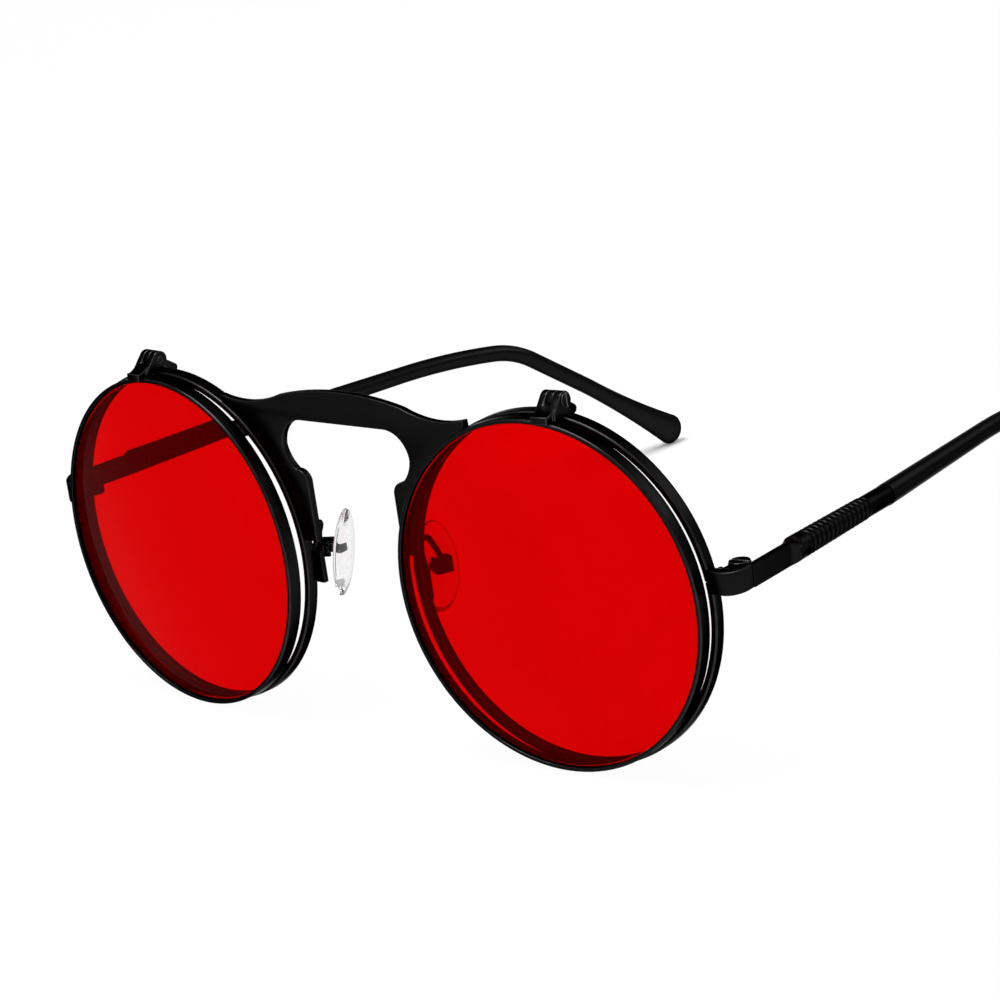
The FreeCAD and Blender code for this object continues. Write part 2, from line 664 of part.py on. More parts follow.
def pad_insert(grow=0.0):
    """The lug that turns on the pad screw and is moulded into the pad."""
    half = insert_half()
    eye = rod(INSERT_R, vec(0, -half, 0), ALONG_Y, 2 * half)
    stem = box((-PAD_STAND - INSERT_EMBED - grow, 0), (-half - grow, half + grow),
               (-INSERT_R - grow, INSERT_R + grow))
    hole = rod(PAD_SCREW_R + RUNNING_FIT, vec(0, -FAR, 0), ALONG_Y, 2 * FAR)
    return on_pad(eye.fuse(stem).cut(hole))


def nose_pad():
    """An oval clear pad with rounded edges and a pocket for its lug."""
    oval = Part.Ellipse(ORIGIN, PAD_HALF_HEIGHT, PAD_HALF_WIDTH).toShape()
    oval.rotate(ORIGIN, vec(1, 1, 1), -120)
    oval.rotate(ORIGIN, UP, 90)
    pad = Part.Face(Part.Wire([oval])).extrude(vec(-PAD_THICK, 0, 0))
    pad = pad.makeFillet(PAD_ROUND, [edge for edge in pad.Edges if isinstance(edge.Curve, Part.Ellipse)])
    pad.translate(vec(-PAD_STAND, 0, -PAD_DROP))
    return on_pad(pad).cut(pad_insert(LENS_PLAY))


PAIRED = {"rim": rim, "clear_lens": clear_lens, "rim_screw": rim_screw, "end_piece": end_piece,
          "temple_hinge_screw": temple_hinge_screw, "flip_hinge_base": flip_hinge_base,
          "flip_hinge_pin": flip_hinge_pin, "pad_arm": pad_arm, "pad_box": pad_box, "pad_screw": pad_screw,
          "flip_ring": flip_ring, "red_lens": red_lens, "flip_hinge_leaf": flip_hinge_leaf,
          "temple_bar": temple_bar, "temple_core": temple_core, "temple_arm": temple_arm,
          "nose_pad": nose_pad, "pad_insert": pad_insert}


def flip_axis():
    """A point on the left flip hinge's axis."""
    return on_flip(Part.Vertex(FLIP_HINGE_X, FLIP_HINGE_Y, FLIP_HINGE_Z)).Point


def standing_origin(shapes):
    """The middle of the part's footprint, on the surface that it stands on."""
    bounds = FreeCAD.BoundBox()
    for shape in shapes:
        bounds.add(shape.optimalBoundingBox())
    return vec(0, bounds.Center.y, bounds.ZMin)


nodes = {"bridge": bridge()}
for name, make in PAIRED.items():
    nodes["left_" + name] = make()
    nodes["right_" + name] = nodes["left_" + name].mirror(ORIGIN, ALONG_X)
for shape in nodes.values():
    shape.rotate(ORIGIN, ALONG_X, -stand_pitch())
origin = standing_origin(nodes.values())
os.makedirs("parts", exist_ok=True)
for name, shape in nodes.items():
    shape.translate(origin.negative())
    shape.exportStep("parts/" + name + ".step")
    print(name, "solids", len(shape.Solids), "valid", shape.isValid(), "volume", round(shape.Volume, 2))

axes = {"flip": flip_axis(), "temple": vec(HINGE_X, HINGE_Y, END_Z), "pad": vec(PAD_X, PAD_Y, PAD_Z)}
level = FreeCAD.Rotation(ALONG_X, -stand_pitch())
print("pitch", round(stand_pitch(), 4), "origin", [round(value, 4) for value in origin])
for name, point in axes.items():
    print("left", name, "axis at", [round(value, 4) for value in level.multVec(point) - origin])
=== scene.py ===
"""The looks of the flip-up sunglasses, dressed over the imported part.

Pieces are shaped in millimetres about the point midway between the lens centres, as the part is
drawn, and then set standing in the part's own frame, in metres. The left side is +X.
"""
import bmesh
import bpy
import math
from mathutils import Matrix, Vector


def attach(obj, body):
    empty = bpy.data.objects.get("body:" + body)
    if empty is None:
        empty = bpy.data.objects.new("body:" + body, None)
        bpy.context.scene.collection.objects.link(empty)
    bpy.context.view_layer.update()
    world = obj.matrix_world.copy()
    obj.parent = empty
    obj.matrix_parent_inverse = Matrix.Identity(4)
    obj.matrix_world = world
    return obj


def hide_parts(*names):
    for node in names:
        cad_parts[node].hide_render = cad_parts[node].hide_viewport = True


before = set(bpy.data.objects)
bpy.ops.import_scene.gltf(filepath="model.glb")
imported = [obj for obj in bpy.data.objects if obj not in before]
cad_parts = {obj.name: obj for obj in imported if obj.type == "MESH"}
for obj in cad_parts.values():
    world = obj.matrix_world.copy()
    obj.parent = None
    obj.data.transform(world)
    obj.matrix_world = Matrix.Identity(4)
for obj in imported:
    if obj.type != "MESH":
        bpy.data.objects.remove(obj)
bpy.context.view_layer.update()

# Rear eyewires: nickel silver wire with a lens groove, rolled into a ring and split at the temple
# side, where two soldered lugs take the closing screw. Lacquered black with the rest of the front.
RIM_OUTER_R = 25.88
RIM_INNER_R = 24.93
RIM_DEPTH = 1.9
RIM_FRONT = 3.29
RIM_WRAP = 3.9
LENS_SPACING = 73.44
LENS_MIDDLE = (0, -65.3299, 25.8804)
PART_PITCH = -0.0047
MM_IN_METRE = 1000
WIRE_ROUND = 0.3
WIRE_EASE = 0.09
ROUND_STEPS = 6
ROUND_FACING = (0.35, 0.95)
EASE_STEPS = 3
GROOVE_DEPTH = 0.26
GROOVE_HALF = 0.42
GROOVE_CUTS = 3
RING_STEPS = 128
SLIT_Z = 3.82
SLIT_WIDTH = 0.25
LUG_REACH = 1.4
BROW_LEAN = 0.5
FRAME_BLACK = [0.0095, 0.0095, 0.01]
# Paler colour of the frame's marked edges: partly worn lacquer, partly a painted highlight.
FRAME_RUBBED_AND_HIGHLIT = [0.045, 0.045, 0.047]
LACQUER_EDGE = (0.28, 0.28, 0.28, 1)
HAZE_SIZE = 1.7
HAZE_SWING = 0.07
HAZE_ROUGHNESS = 0.06
PEEL_SIZE = 0.35
PEEL_HEIGHT = 0.004
PEEL_ROUGHNESS = 0.12
FINE_DETAIL = 3.0
SMOOTH_UNDER = 30.0
SAME_PLACE = 0.001
FULL_TURN = 2 * math.pi


def turned(degrees, axis):
    return Matrix.Rotation(math.radians(degrees), 4, axis)


STANDING = Matrix.Scale(1 / MM_IN_METRE, 4) @ Matrix.Translation(LENS_MIDDLE) @ turned(PART_PITCH, "X")
SIDES = {"left": Matrix.Identity(4), "right": Matrix.Scale(-1, 4, (1, 0, 0))}


class Field:
    """A value that varies over a surface, so that a finish is written as sums and products."""

    def __init__(self, tree, socket=None):
        self.tree = tree
        self.socket = socket

    def node(self, kind, settings, inputs, output=0):
        made = self.tree.nodes.new("ShaderNode" + kind)
        for name, value in settings.items():
            setattr(made, name, value)
        for name, value in inputs.items():
            if isinstance(value, Field):
                self.tree.links.new(value.socket, made.inputs[name])
            else:
                made.inputs[name].default_value = value
        return Field(self.tree, made.outputs[output])

    def __add__(self, other):
        return self.node("Math", {"operation": "ADD"}, {0: self, 1: other})

    def __mul__(self, other):
        return self.node("Math", {"operation": "MULTIPLY"}, {0: self, 1: other})

    __radd__ = __add__
    __rmul__ = __mul__

    def clipped(self, low, high):
        """Zero below the low value, one above the high one, and even between them."""
        return self.node("MapRange", {"clamp": True},
                         {"Value": self, "From Min": low, "From Max": high})

    def grain(self, size, detail=2.0):
        """Soft blotches about as large as the given size in millimetres."""
        place = self.node("TexCoord", {}, {}, "Object")
        return self.node("TexNoise", {}, {"Vector": place, "Scale": MM_IN_METRE / size, "Detail": detail})

    def rubbed_and_highlit(self):
        """One on the faces that a piece marks as its worn edges, lightened partly as wear and partly as a
        painted highlight, and zero elsewhere.
        """
        return self.node("Attribute", {"attribute_name": "rubbed_and_highlit"}, {}, "Fac")

    def between(self, first, second):
        """A colour from the first to the second as the value goes from zero to one."""
        return self.node("Mix", {"data_type": "RGBA"}, {0: self, 6: first, 7: second}, 2)

    def relief(self, height):
        """A surface normal from the value as a height, given in millimetres."""
        return self.node("Bump", {}, {"Height": self, "Distance": height / MM_IN_METRE})


def new_finish(name):
    material = bpy.data.materials.new(name)
    material.use_nodes = True
    return material, Field(material.node_tree)


def coat(material, **sockets):
    """Sets or links the sockets of a finish's shader, named with _ for each space."""
    shader = material.node_tree.nodes["Principled BSDF"]
    for name, value in sockets.items():
        socket = shader.inputs[name.replace("_", " ")]
        if isinstance(value, Field):
            material.node_tree.links.new(value.socket, socket)
        else:
            socket.default_value = value


def black_lacquer(name, black, rubbed_and_highlit, roughness, edge_wear_and_highlight):
    """Baked black lacquer over metal: fine orange peel, faint haze, and edges worn thin by rubbing,
    lightened partly as wear and partly as a painted highlight.
    """
    material, field = new_finish(name)
    haze = field.grain(HAZE_SIZE)
    peel = field.grain(PEEL_SIZE, FINE_DETAIL)
    # The marked edges take the paler colour: partly worn lacquer, partly a painted highlight that draws
    # bright lines along the rounds.
    wear_and_highlight = field.rubbed_and_highlit() * (haze.clipped(0.3, 0.7) * 0.5 + 0.5) * edge_wear_and_highlight
    deep, pale = ([part * (1 + swing) for part in black] + [1] for swing in (-HAZE_SWING, HAZE_SWING))
    coat(material, Base_Color=wear_and_highlight.between(haze.between(deep, pale), rubbed_and_highlit + [1]), Metallic=1.0,
         Specular_Tint=LACQUER_EDGE, Normal=peel.relief(PEEL_HEIGHT),
         Roughness=peel * PEEL_ROUGHNESS + haze * HAZE_ROUGHNESS + roughness)
    return material


def alone(make, **sizes):
    """Adds a primitive with nothing else selected, sets its place into its mesh and opens it."""
    bpy.ops.object.select_all(action="DESELECT")
    make(**sizes)
    bpy.ops.object.transform_apply()
    bpy.ops.object.mode_set(mode="EDIT")
    bpy.ops.mesh.select_all(action="SELECT")


def pick(kind, wanted):
    """Selects the vertices, edges or faces of the open piece that pass a test, and no others."""
    bpy.ops.mesh.select_all(action="DESELECT")
    bpy.ops.mesh.select_mode(type=kind)
    mesh = bmesh.from_edit_mesh(bpy.context.object.data)
    for item in {"VERT": mesh.verts, "EDGE": mesh.edges, "FACE": mesh.faces}[kind]:
        item.select_set(bool(wanted(item)))
    mesh.select_flush_mode()
    bmesh.update_edit_mesh(bpy.context.object.data)


def cap(wanted):
    """Closes an open end with one face."""
    pick("EDGE", lambda edge: edge.is_boundary and wanted(sum((v.co for v in edge.verts), Vector()) / 2))
    bpy.ops.mesh.edge_face_add()


def spun(steps, turn, axis):
    """Spins the outline of an open flat section about an axis through the middle."""
    bpy.ops.mesh.select_all(action="SELECT")
    bpy.ops.mesh.delete(type="ONLY_FACE")
    bpy.ops.mesh.select_all(action="SELECT")
    bpy.ops.mesh.spin(steps=steps, angle=turn, center=(0, 0, 0), axis=axis)


def closed():
    """Merges doubles, turns every face outwards and leaves edit mode."""
    bpy.ops.mesh.select_mode(type="VERT")
    bpy.ops.mesh.select_all(action="SELECT")
    bpy.ops.mesh.remove_doubles(threshold=SAME_PLACE / 2)
    bpy.ops.mesh.normals_make_consistent(inside=False)
    bpy.ops.object.mode_set(mode="OBJECT")
    return bpy.context.object


def only(piece):
    bpy.ops.object.select_all(action="DESELECT")
    piece.select_set(True)
    bpy.context.view_layer.objects.active = piece


def copied(shape, name):
    """A copy of a shape with its own mesh, selected alone."""
    piece = bpy.data.objects.new(name, shape.data.copy())
    bpy.context.collection.objects.link(piece)
    only(piece)
    return piece


def placed(piece, place):
    """Moves a piece, and sets its new place into its mesh."""
    only(piece)
    piece.matrix_world = place
    bpy.ops.object.transform_apply()


def dressed(piece, node, body, material):
    """Puts a finish on a piece that stands for a node, hides the node and moves the piece with its body."""
    piece.data.materials.clear()
    piece.data.materials.append(material)
    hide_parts(node)
    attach(piece, body)


def fitted_pair(shape, name, place, node, body, material):
    """Stands a shape for its node on both sides and removes it. Names have {} for the side."""
    for side, mirror in SIDES.items():
        piece = copied(shape, name.format(side))
        placed(piece, STANDING @ mirror @ place)
        bpy.ops.object.mode_set(mode="EDIT")
        bpy.ops.mesh.select_all(action="SELECT")
        bpy.ops.mesh.normals_make_consistent(inside=False)
        bpy.ops.object.mode_set(mode="OBJECT")
        bpy.ops.object.shade_smooth_by_angle(angle=math.radians(SMOOTH_UNDER))
        dressed(piece, node.format(side), body.format(side), material)
    bpy.data.objects.remove(shape)


def mark_rubbed_and_highlit(piece, wanted):
    """Marks the faces of a piece that pass a test as its worn edges, lightened as wear and as a painted
    highlight.
    """
    marks = piece.data.attributes.new("rubbed_and_highlit", "FLOAT", "FACE")
    for face in piece.data.polygons:
        marks.data[face.index].value = float(wanted(face))


def on_round(face):
    """The rounded outer edges of a wire ring, which face both outwards and along its axis, and take the wear
    and painted highlight.
    """
    least, most = ROUND_FACING
    return least < abs(face.normal.y) < most and math.hypot(face.center.x, face.center.z) > RIM_INNER_R


def wire_ring(inner_r, outer_r, depth, turn):
    """Spins a rounded wire section with its lens groove about the optical axis, Y."""
    middle = depth / 2
    inner_flat = depth - 2 * WIRE_EASE

    def inside(v):
        return abs(v.co.x - inner_r) < SAME_PLACE

    alone(bpy.ops.mesh.primitive_plane_add, size=1)
    bpy.ops.transform.resize(value=(outer_r - inner_r, depth, 1), center_override=(0, 0, 0))
    bpy.ops.transform.translate(value=((inner_r + outer_r) / 2, middle, 0))
    pick("VERT", lambda v: v.co.x > inner_r + WIRE_EASE)
    bpy.ops.mesh.bevel(offset=WIRE_ROUND, segments=ROUND_STEPS, affect="VERTICES")
    pick("VERT", inside)
    bpy.ops.mesh.bevel(offset=WIRE_EASE, segments=EASE_STEPS, affect="VERTICES")
    pick("EDGE", lambda e: all(inside(v) for v in e.verts))
    bpy.ops.mesh.subdivide(number_cuts=GROOVE_CUTS)
    pick("VERT", lambda v: inside(v) and abs(v.co.y - middle) < depth / (GROOVE_CUTS + 1))
    bpy.ops.transform.resize(value=(1, GROOVE_HALF / (inner_flat / (GROOVE_CUTS + 1)), 1),
                             center_override=(inner_r, middle, 0))
    pick("VERT", lambda v: inside(v) and abs(v.co.y - middle) < SAME_PLACE)
    bpy.ops.transform.translate(value=(GROOVE_DEPTH, 0, 0))
    spun(RING_STEPS, turn, (0, 1, 0))


frame_lacquer = black_lacquer("frame_lacquer", FRAME_BLACK, FRAME_RUBBED_AND_HIGHLIT, roughness=0.2, edge_wear_and_highlight=0.8)
wire_ring(RIM_INNER_R, RIM_OUTER_R, RIM_DEPTH, FULL_TURN - SLIT_WIDTH / RIM_OUTER_R)
cap(lambda middle: abs(middle.z) < SAME_PLACE)
cap(lambda middle: True)
eyewire = closed()
placed(eyewire, Matrix.Rotation(-math.asin((SLIT_Z - SLIT_WIDTH / 2) / RIM_OUTER_R), 4, "Y"))
lug_span = FULL_TURN * RIM_OUTER_R / RING_STEPS


def beside_slit(face):
    """The outer faces just above and below the slit."""
    middle = face.calc_center_median()
    outside = math.hypot(middle.x, middle.z) > RIM_OUTER_R - WIRE_ROUND
    return middle.x > 0 and outside and SLIT_WIDTH / 4 < abs(middle.z - SLIT_Z) < lug_span


bpy.ops.object.mode_set(mode="EDIT")
pick("FACE", beside_slit)
bpy.ops.mesh.extrude_region_move(TRANSFORM_OT_translate={"value": (LUG_REACH, 0, 0)})
bpy.ops.transform.resize(value=(0, 1, 1), center_override=(RIM_OUTER_R + LUG_REACH, 0, 0))
mark_rubbed_and_highlit(closed(), on_round)
for vertex in eyewire.data.vertices:
    if vertex.co.z > 0 and vertex.co.y < RIM_DEPTH / 2:
        vertex.co.y -= BROW_LEAN * (vertex.co.z / RIM_OUTER_R) ** 2
on_rim = Matrix.Translation((LENS_SPACING / 2, RIM_FRONT, 0)) @ turned(RIM_WRAP, "Z")
fitted_pair(eyewire, "{}_eyewire", on_rim, "{}_rim", "front", frame_lacquer)

# Clear lenses: flat plastic blanks with a bevelled edge that snaps into the groove of the eyewire.
# They are left as the part has them, with a faint film over their gloss.
FILM_SIZE = 6.0
FILM_TINT = [0.985, 0.99, 0.99, 1]
FILM_CLEAR = [1, 1, 1, 1]
clear_plastic, field = new_finish("clear_lens_plastic")
film = field.grain(FILM_SIZE, FINE_DETAIL)
coat(clear_plastic, Base_Color=film.between(FILM_TINT, FILM_CLEAR), IOR=1.03, Transmission_Weight=1.0,
     Roughness=film.clipped(0.55, 0.75) * 0.03)


def repainted(node, material):
    """Gives a node that keeps its own shape a new finish."""
    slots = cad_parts[node].data.materials
    slots.clear()
    slots.append(material)


for side in SIDES:
    repainted(side + "_clear_lens", clear_plastic)

# Bridge: a keyhole plate stamped from sheet, its edges tumbled soft, with wings above and prongs
# below that are soldered to the backs of the eyewires.
PLATE_EASE = 0.13
CAD_MERGE = 1e-6
CAD_FLAT = 0.5


def eased(node, name, body, material, ease, angle=SMOOTH_UNDER, flatten=None):
    """A copy of a node of the part with its triangles joined into faces and its edges rounded.

    Flatten gives an axis and a level in millimetres, and presses what lies below it up to that level.
    The second material place only tells the rounded edges apart until they are marked for wear and painted
    highlight.
    """
    piece = copied(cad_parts[node], name)
    bpy.ops.mesh.customdata_custom_splitnormals_clear()
    piece.data.materials.clear()
    for finish in (material, material):
        piece.data.materials.append(finish)
    bpy.ops.object.mode_set(mode="EDIT")
    bpy.ops.mesh.select_all(action="SELECT")
    bpy.ops.mesh.remove_doubles(threshold=CAD_MERGE)
    bpy.ops.mesh.dissolve_limited(angle_limit=math.radians(CAD_FLAT))
    if flatten:
        axis, height = flatten
        level = (STANDING @ Vector([height] * 3))[axis]
        pick("VERT", lambda v: v.co[axis] < level)
        bpy.ops.transform.resize(value=[float(other != axis) for other in range(3)],
                                 center_override=[level] * 3)
    bpy.ops.object.mode_set(mode="OBJECT")
    rounding = piece.modifiers.new("ease", "BEVEL")
    rounding.width = ease / MM_IN_METRE
    rounding.segments = EASE_STEPS
    rounding.limit_method = "ANGLE"
    rounding.angle_limit = math.radians(angle)
    rounding.use_clamp_overlap = False
    rounding.material = 1
    bpy.ops.object.modifier_apply(modifier=rounding.name)
    mark_rubbed_and_highlit(piece, lambda face: face.material_index == 1)
    for face in piece.data.polygons:
        face.material_index = 0
    bpy.ops.object.shade_smooth_by_angle(angle=math.radians(angle))
    dressed(piece, node, body, material)


eased("bridge", "keyhole_bridge", "front", frame_lacquer, PLATE_EASE)

# End pieces: strips bent round from the eyewires to the temple joints, each with two hinge knuckles,
# and the slotted screws that close the eyewires and pin the temples.
STRIP_EASE = 0.12
CLOSING_SCREW_EASE = 0.05
JOINT_SCREW_EASE = 0.06
SCREW_BLACK = [0.012] * 3
# Paler colour of the screws' marked edges: partly worn metal, partly a painted highlight.
SCREW_RUBBED_AND_HIGHLIT = [0.16] * 3
screw_steel = black_lacquer("screw_steel", SCREW_BLACK, SCREW_RUBBED_AND_HIGHLIT, roughness=0.22, edge_wear_and_highlight=1.0)
for side in SIDES:
    eased(side + "_end_piece", side + "_bent_strip", "front", frame_lacquer, STRIP_EASE)
    eased(side + "_rim_screw", side + "_closing_screw", "front", screw_steel,
          CLOSING_SCREW_EASE)
    eased(side + "_temple_hinge_screw", side + "_joint_screw", "front", screw_steel,
          JOINT_SCREW_EASE)

# Flip hinges: small cast knuckles. The base with its stop tail is soldered on the eyewire, the leaf on
# the flip ring, and a slotted pin runs through all three knuckles.
FOOT_BOTTOM = 25.05
KNUCKLE_EASE = 0.12
PIN_EASE = 0.05
HINGE_BLACK = [0.009] * 3
# Paler colour of the knuckles' marked edges: partly worn lacquer, partly a painted highlight.
HINGE_RUBBED_AND_HIGHLIT = [0.06] * 3
hinge_lacquer = black_lacquer("hinge_lacquer", HINGE_BLACK, HINGE_RUBBED_AND_HIGHLIT, roughness=0.16, edge_wear_and_highlight=1.0)
for side in SIDES:
    eased(side + "_flip_hinge_base", side + "_stop_knuckle", "front", hinge_lacquer,
          KNUCKLE_EASE)
    eased(side + "_flip_hinge_pin", side + "_slotted_pin", "front", screw_steel, PIN_EASE)
    eased(side + "_flip_hinge_leaf", side + "_twin_knuckle", side + "_flip", hinge_lacquer,
          KNUCKLE_EASE, flatten=(2, FOOT_BOTTOM))

# Flip rings: the same grooved wire as the eyewires but a little deeper, brazed into an unbroken ring
# and given a glossier lacquer.
FLIP_OUTER_R = 25.58
FLIP_INNER_R = 24.94
FLIP_DEPTH = 2.29
FLIP_FRONT = 0.006
FLIP_WRAP = 4.7
RING_BLACK = [0.009, 0.009, 0.0095]
# Paler colour of the ring's rounds: partly worn lacquer, partly a painted highlight.
RING_RUBBED_AND_HIGHLIT = [0.04, 0.04, 0.042]
ring_lacquer = black_lacquer("ring_lacquer", RING_BLACK, RING_RUBBED_AND_HIGHLIT, roughness=0.17, edge_wear_and_highlight=0.8)
wire_ring(FLIP_INNER_R, FLIP_OUTER_R, FLIP_DEPTH, FULL_TURN)
flip_ring = closed()
mark_rubbed_and_highlit(flip_ring, on_round)
on_flip = Matrix.Translation((LENS_SPACING / 2, FLIP_FRONT, 0)) @ turned(FLIP_WRAP, "Z")
fitted_pair(flip_ring, "{}_flip_front", on_flip, "{}_flip_ring", "{}_flip", ring_lacquer)

# Tinted lenses: flat red sheet dyed through, cut round with a narrow polished bevel, and sprung into
# the groove of the flip ring.
TINT_THICK = 1.04
TINT_EASE = 0.16
TINT_PLAY = 0.04
TINT_DEEP = [0.66, 0.0, 0.0004, 1]
TINT_PALE = [0.71, 0.0, 0.0004, 1]
CLOUD_SIZE = 14.0
red_tint, field = new_finish("red_tinted_plastic")
cloud = field.grain(CLOUD_SIZE)
coat(red_tint, Base_Color=cloud.between(TINT_DEEP, TINT_PALE), IOR=1.04, Transmission_Weight=0.95,
     Roughness=cloud.clipped(0.6, 0.8) * 0.02)
alone(bpy.ops.mesh.primitive_cylinder_add, vertices=RING_STEPS, radius=FLIP_INNER_R - TINT_PLAY,
      depth=TINT_THICK, rotation=(math.pi / 2, 0, 0), location=(0, FLIP_DEPTH / 2, 0))
pick("EDGE", lambda e: abs(e.verts[0].co.y - e.verts[1].co.y) < SAME_PLACE)
bpy.ops.mesh.bevel(offset=TINT_EASE, segments=2, affect="EDGES")
fitted_pair(closed(), "{}_tinted_lens", on_flip, "{}_red_lens", "{}_flip", red_tint)

# Temple bars: round rod with its front pressed into a flat bar, a scallop where the flat runs out, and
# a bellows of turned ribs behind it, down to a plain collar. A hinge eye is brazed on in front.
TEMPLE_AT = (66.77, 8.01, 4.13)
TEMPLE_SPLAY = 6.31
TEMPLE_DROP = 1.39
BAR_LENGTH = 9.4
BAR_STEP = 11.3
BAR_THICK = 1.2
BAR_HEIGHT = 3.2
BAR_EASE = 0.14
BAR_END = ((BAR_EASE, 1.0), (BAR_EASE / 3, 0.97), (0.0, 0.92))
STEP_RUN = 0.2
SCALLOP = 1.15
SCALLOP_STEPS = 8
NECK_R = 1.83
RIB_START = 12.8
RIB_LENGTH = 17.0
RIB_COUNT = 14
RIB_HEIGHT = 0.23
RIB_TAPER = 0.18
RIB_STEPS = 8
RIB_SHIFT = 0.02
NICK_DEPTH = 0.06
REAR_NICK = 0.1
FRONT_NICK = (0.03, 0.12)
COLLAR_R = 1.56
COLLAR_ROUND = 0.3
SLEEVE_END = 36.3
EYE_AT = (63.98, 9.5, 3.68)
EYE_R = 1.6
EYE_BORE_R = 0.56
EYE_HEIGHT = 0.9
EYE_EASE = 0.08
WEB_REACH = 0.7
ROD_SIDES = 64
TEMPLE_BLACK = [0.0105] * 3
# Paler colour of the temple's marked edges: partly worn lacquer, partly a painted highlight.
TEMPLE_RUBBED_AND_HIGHLIT = [0.055] * 3
temple_lacquer = black_lacquer("temple_lacquer", TEMPLE_BLACK, TEMPLE_RUBBED_AND_HIGHLIT, roughness=0.2, edge_wear_and_highlight=0.8)


def drawn_on(y, growth, last_y):
    """Extrudes the open loop of a rod along Y to a new distance, growing or shrinking it."""
    bpy.ops.mesh.extrude_region_move(TRANSFORM_OT_translate={"value": (0, y - last_y, 0)})
    bpy.ops.transform.resize(value=(growth, 1, growth), center_override=(0, y, 0))


def pressed(y, half):
    """Presses both sides of the loop at a distance flat, and leaves that loop selected."""
    for way in (-1, 1):
        pick("VERT", lambda v: abs(v.co.y - y) < SAME_PLACE and way * v.co.x > half)
        bpy.ops.transform.resize(value=(0, 1, 1), center_override=(way * half, y, 0))
    pick("VERT", lambda v: abs(v.co.y - y) < SAME_PLACE)


def rib_root(index):
    return NECK_R - RIB_HEIGHT - RIB_TAPER * index / RIB_COUNT


stations = [(SLEEVE_END, COLLAR_R - COLLAR_ROUND)]
for step in range(1, ROUND_STEPS + 1):
    angle = math.pi / 2 * step / ROUND_STEPS
    stations.append((SLEEVE_END - COLLAR_ROUND * (1 - math.cos(angle)),
                     COLLAR_R - COLLAR_ROUND * (1 - math.sin(angle))))
rib_end = RIB_START + RIB_LENGTH
rib_pitch = RIB_LENGTH / RIB_COUNT
stations += [(rib_end + REAR_NICK, COLLAR_R), (rib_end, COLLAR_R - NICK_DEPTH)]
for index in range(RIB_COUNT, 0, -1):
    for step in range(RIB_STEPS):
        share = step / RIB_STEPS
        bow = RIB_HEIGHT * math.sqrt(max(0.0, 1 - (2 * share - 1) ** 2))
        root = rib_root(index) + (rib_root(index - 1) - rib_root(index)) * share
        stations.append((RIB_START + rib_pitch * (index - share) - RIB_SHIFT, root + bow))
stations += [(RIB_START - FRONT_NICK[0], NECK_R - NICK_DEPTH), (RIB_START - FRONT_NICK[1], NECK_R),
             (BAR_STEP, NECK_R)]
alone(bpy.ops.mesh.primitive_circle_add, vertices=ROD_SIDES, radius=stations[0][1],
      rotation=(math.pi / 2, 0, 0), location=(0, SLEEVE_END, 0))
for (last_y, last_r), (y, radius) in zip(stations, stations[1:]):
    drawn_on(y, radius / last_r, last_y)
last_y = BAR_STEP - STEP_RUN
drawn_on(last_y, 1.0, BAR_STEP)
bpy.ops.transform.resize(value=(1, 1, BAR_HEIGHT / (2 * NECK_R)), center_override=(0, last_y, -NECK_R))
for step in range(SCALLOP_STEPS + 1):
    angle = math.pi / 2 * step / SCALLOP_STEPS
    y = BAR_LENGTH + SCALLOP * math.cos(angle)
    drawn_on(y, 1.0, last_y)
    pressed(y, BAR_THICK / 2 + (NECK_R - BAR_THICK / 2) * (1 - math.sin(angle)))
    last_y = y
for y, shrink in BAR_END:
    drawn_on(y, shrink, last_y)
    pressed(y, BAR_THICK / 2 * shrink)
    last_y = y
cap(lambda middle: middle.y < SAME_PLACE)
cap(lambda middle: True)
temple_rod = closed()
on_temple = Matrix.Translation(TEMPLE_AT) @ turned(TEMPLE_SPLAY, "Z") @ turned(-TEMPLE_DROP, "X")
from_front = on_temple.inverted()
alone(bpy.ops.mesh.primitive_plane_add, size=1, rotation=(math.pi / 2, 0, 0))
bpy.ops.transform.resize(value=(EYE_R - EYE_BORE_R, 1, EYE_HEIGHT), center_override=(0, 0, 0))
bpy.ops.transform.translate(value=((EYE_R + EYE_BORE_R) / 2, 0, 0))
bpy.ops.mesh.bevel(offset=EYE_EASE, segments=EASE_STEPS, affect="VERTICES")
spun(ROD_SIDES, FULL_TURN, (0, 0, 1))
hinge_eye = closed()
placed(hinge_eye, from_front @ Matrix.Translation(EYE_AT))
web_low = Vector((EYE_AT[0] + EYE_R * WEB_REACH, TEMPLE_AT[1], EYE_AT[2] - EYE_HEIGHT / 2))
web_high = Vector((TEMPLE_AT[0], EYE_AT[1] + EYE_R, EYE_AT[2] + EYE_HEIGHT / 2))
alone(bpy.ops.mesh.primitive_cube_add, size=1)
bpy.ops.transform.resize(value=web_high - web_low, center_override=(0, 0, 0))
hinge_web = closed()
placed(hinge_web, from_front @ Matrix.Translation((web_low + web_high) / 2))
only(temple_rod)
hinge_eye.select_set(True)
hinge_web.select_set(True)
bpy.ops.object.join()
fitted_pair(temple_rod, "{}_ribbed_temple", on_temple, "{}_temple_bar", "{}_temple",
            temple_lacquer)

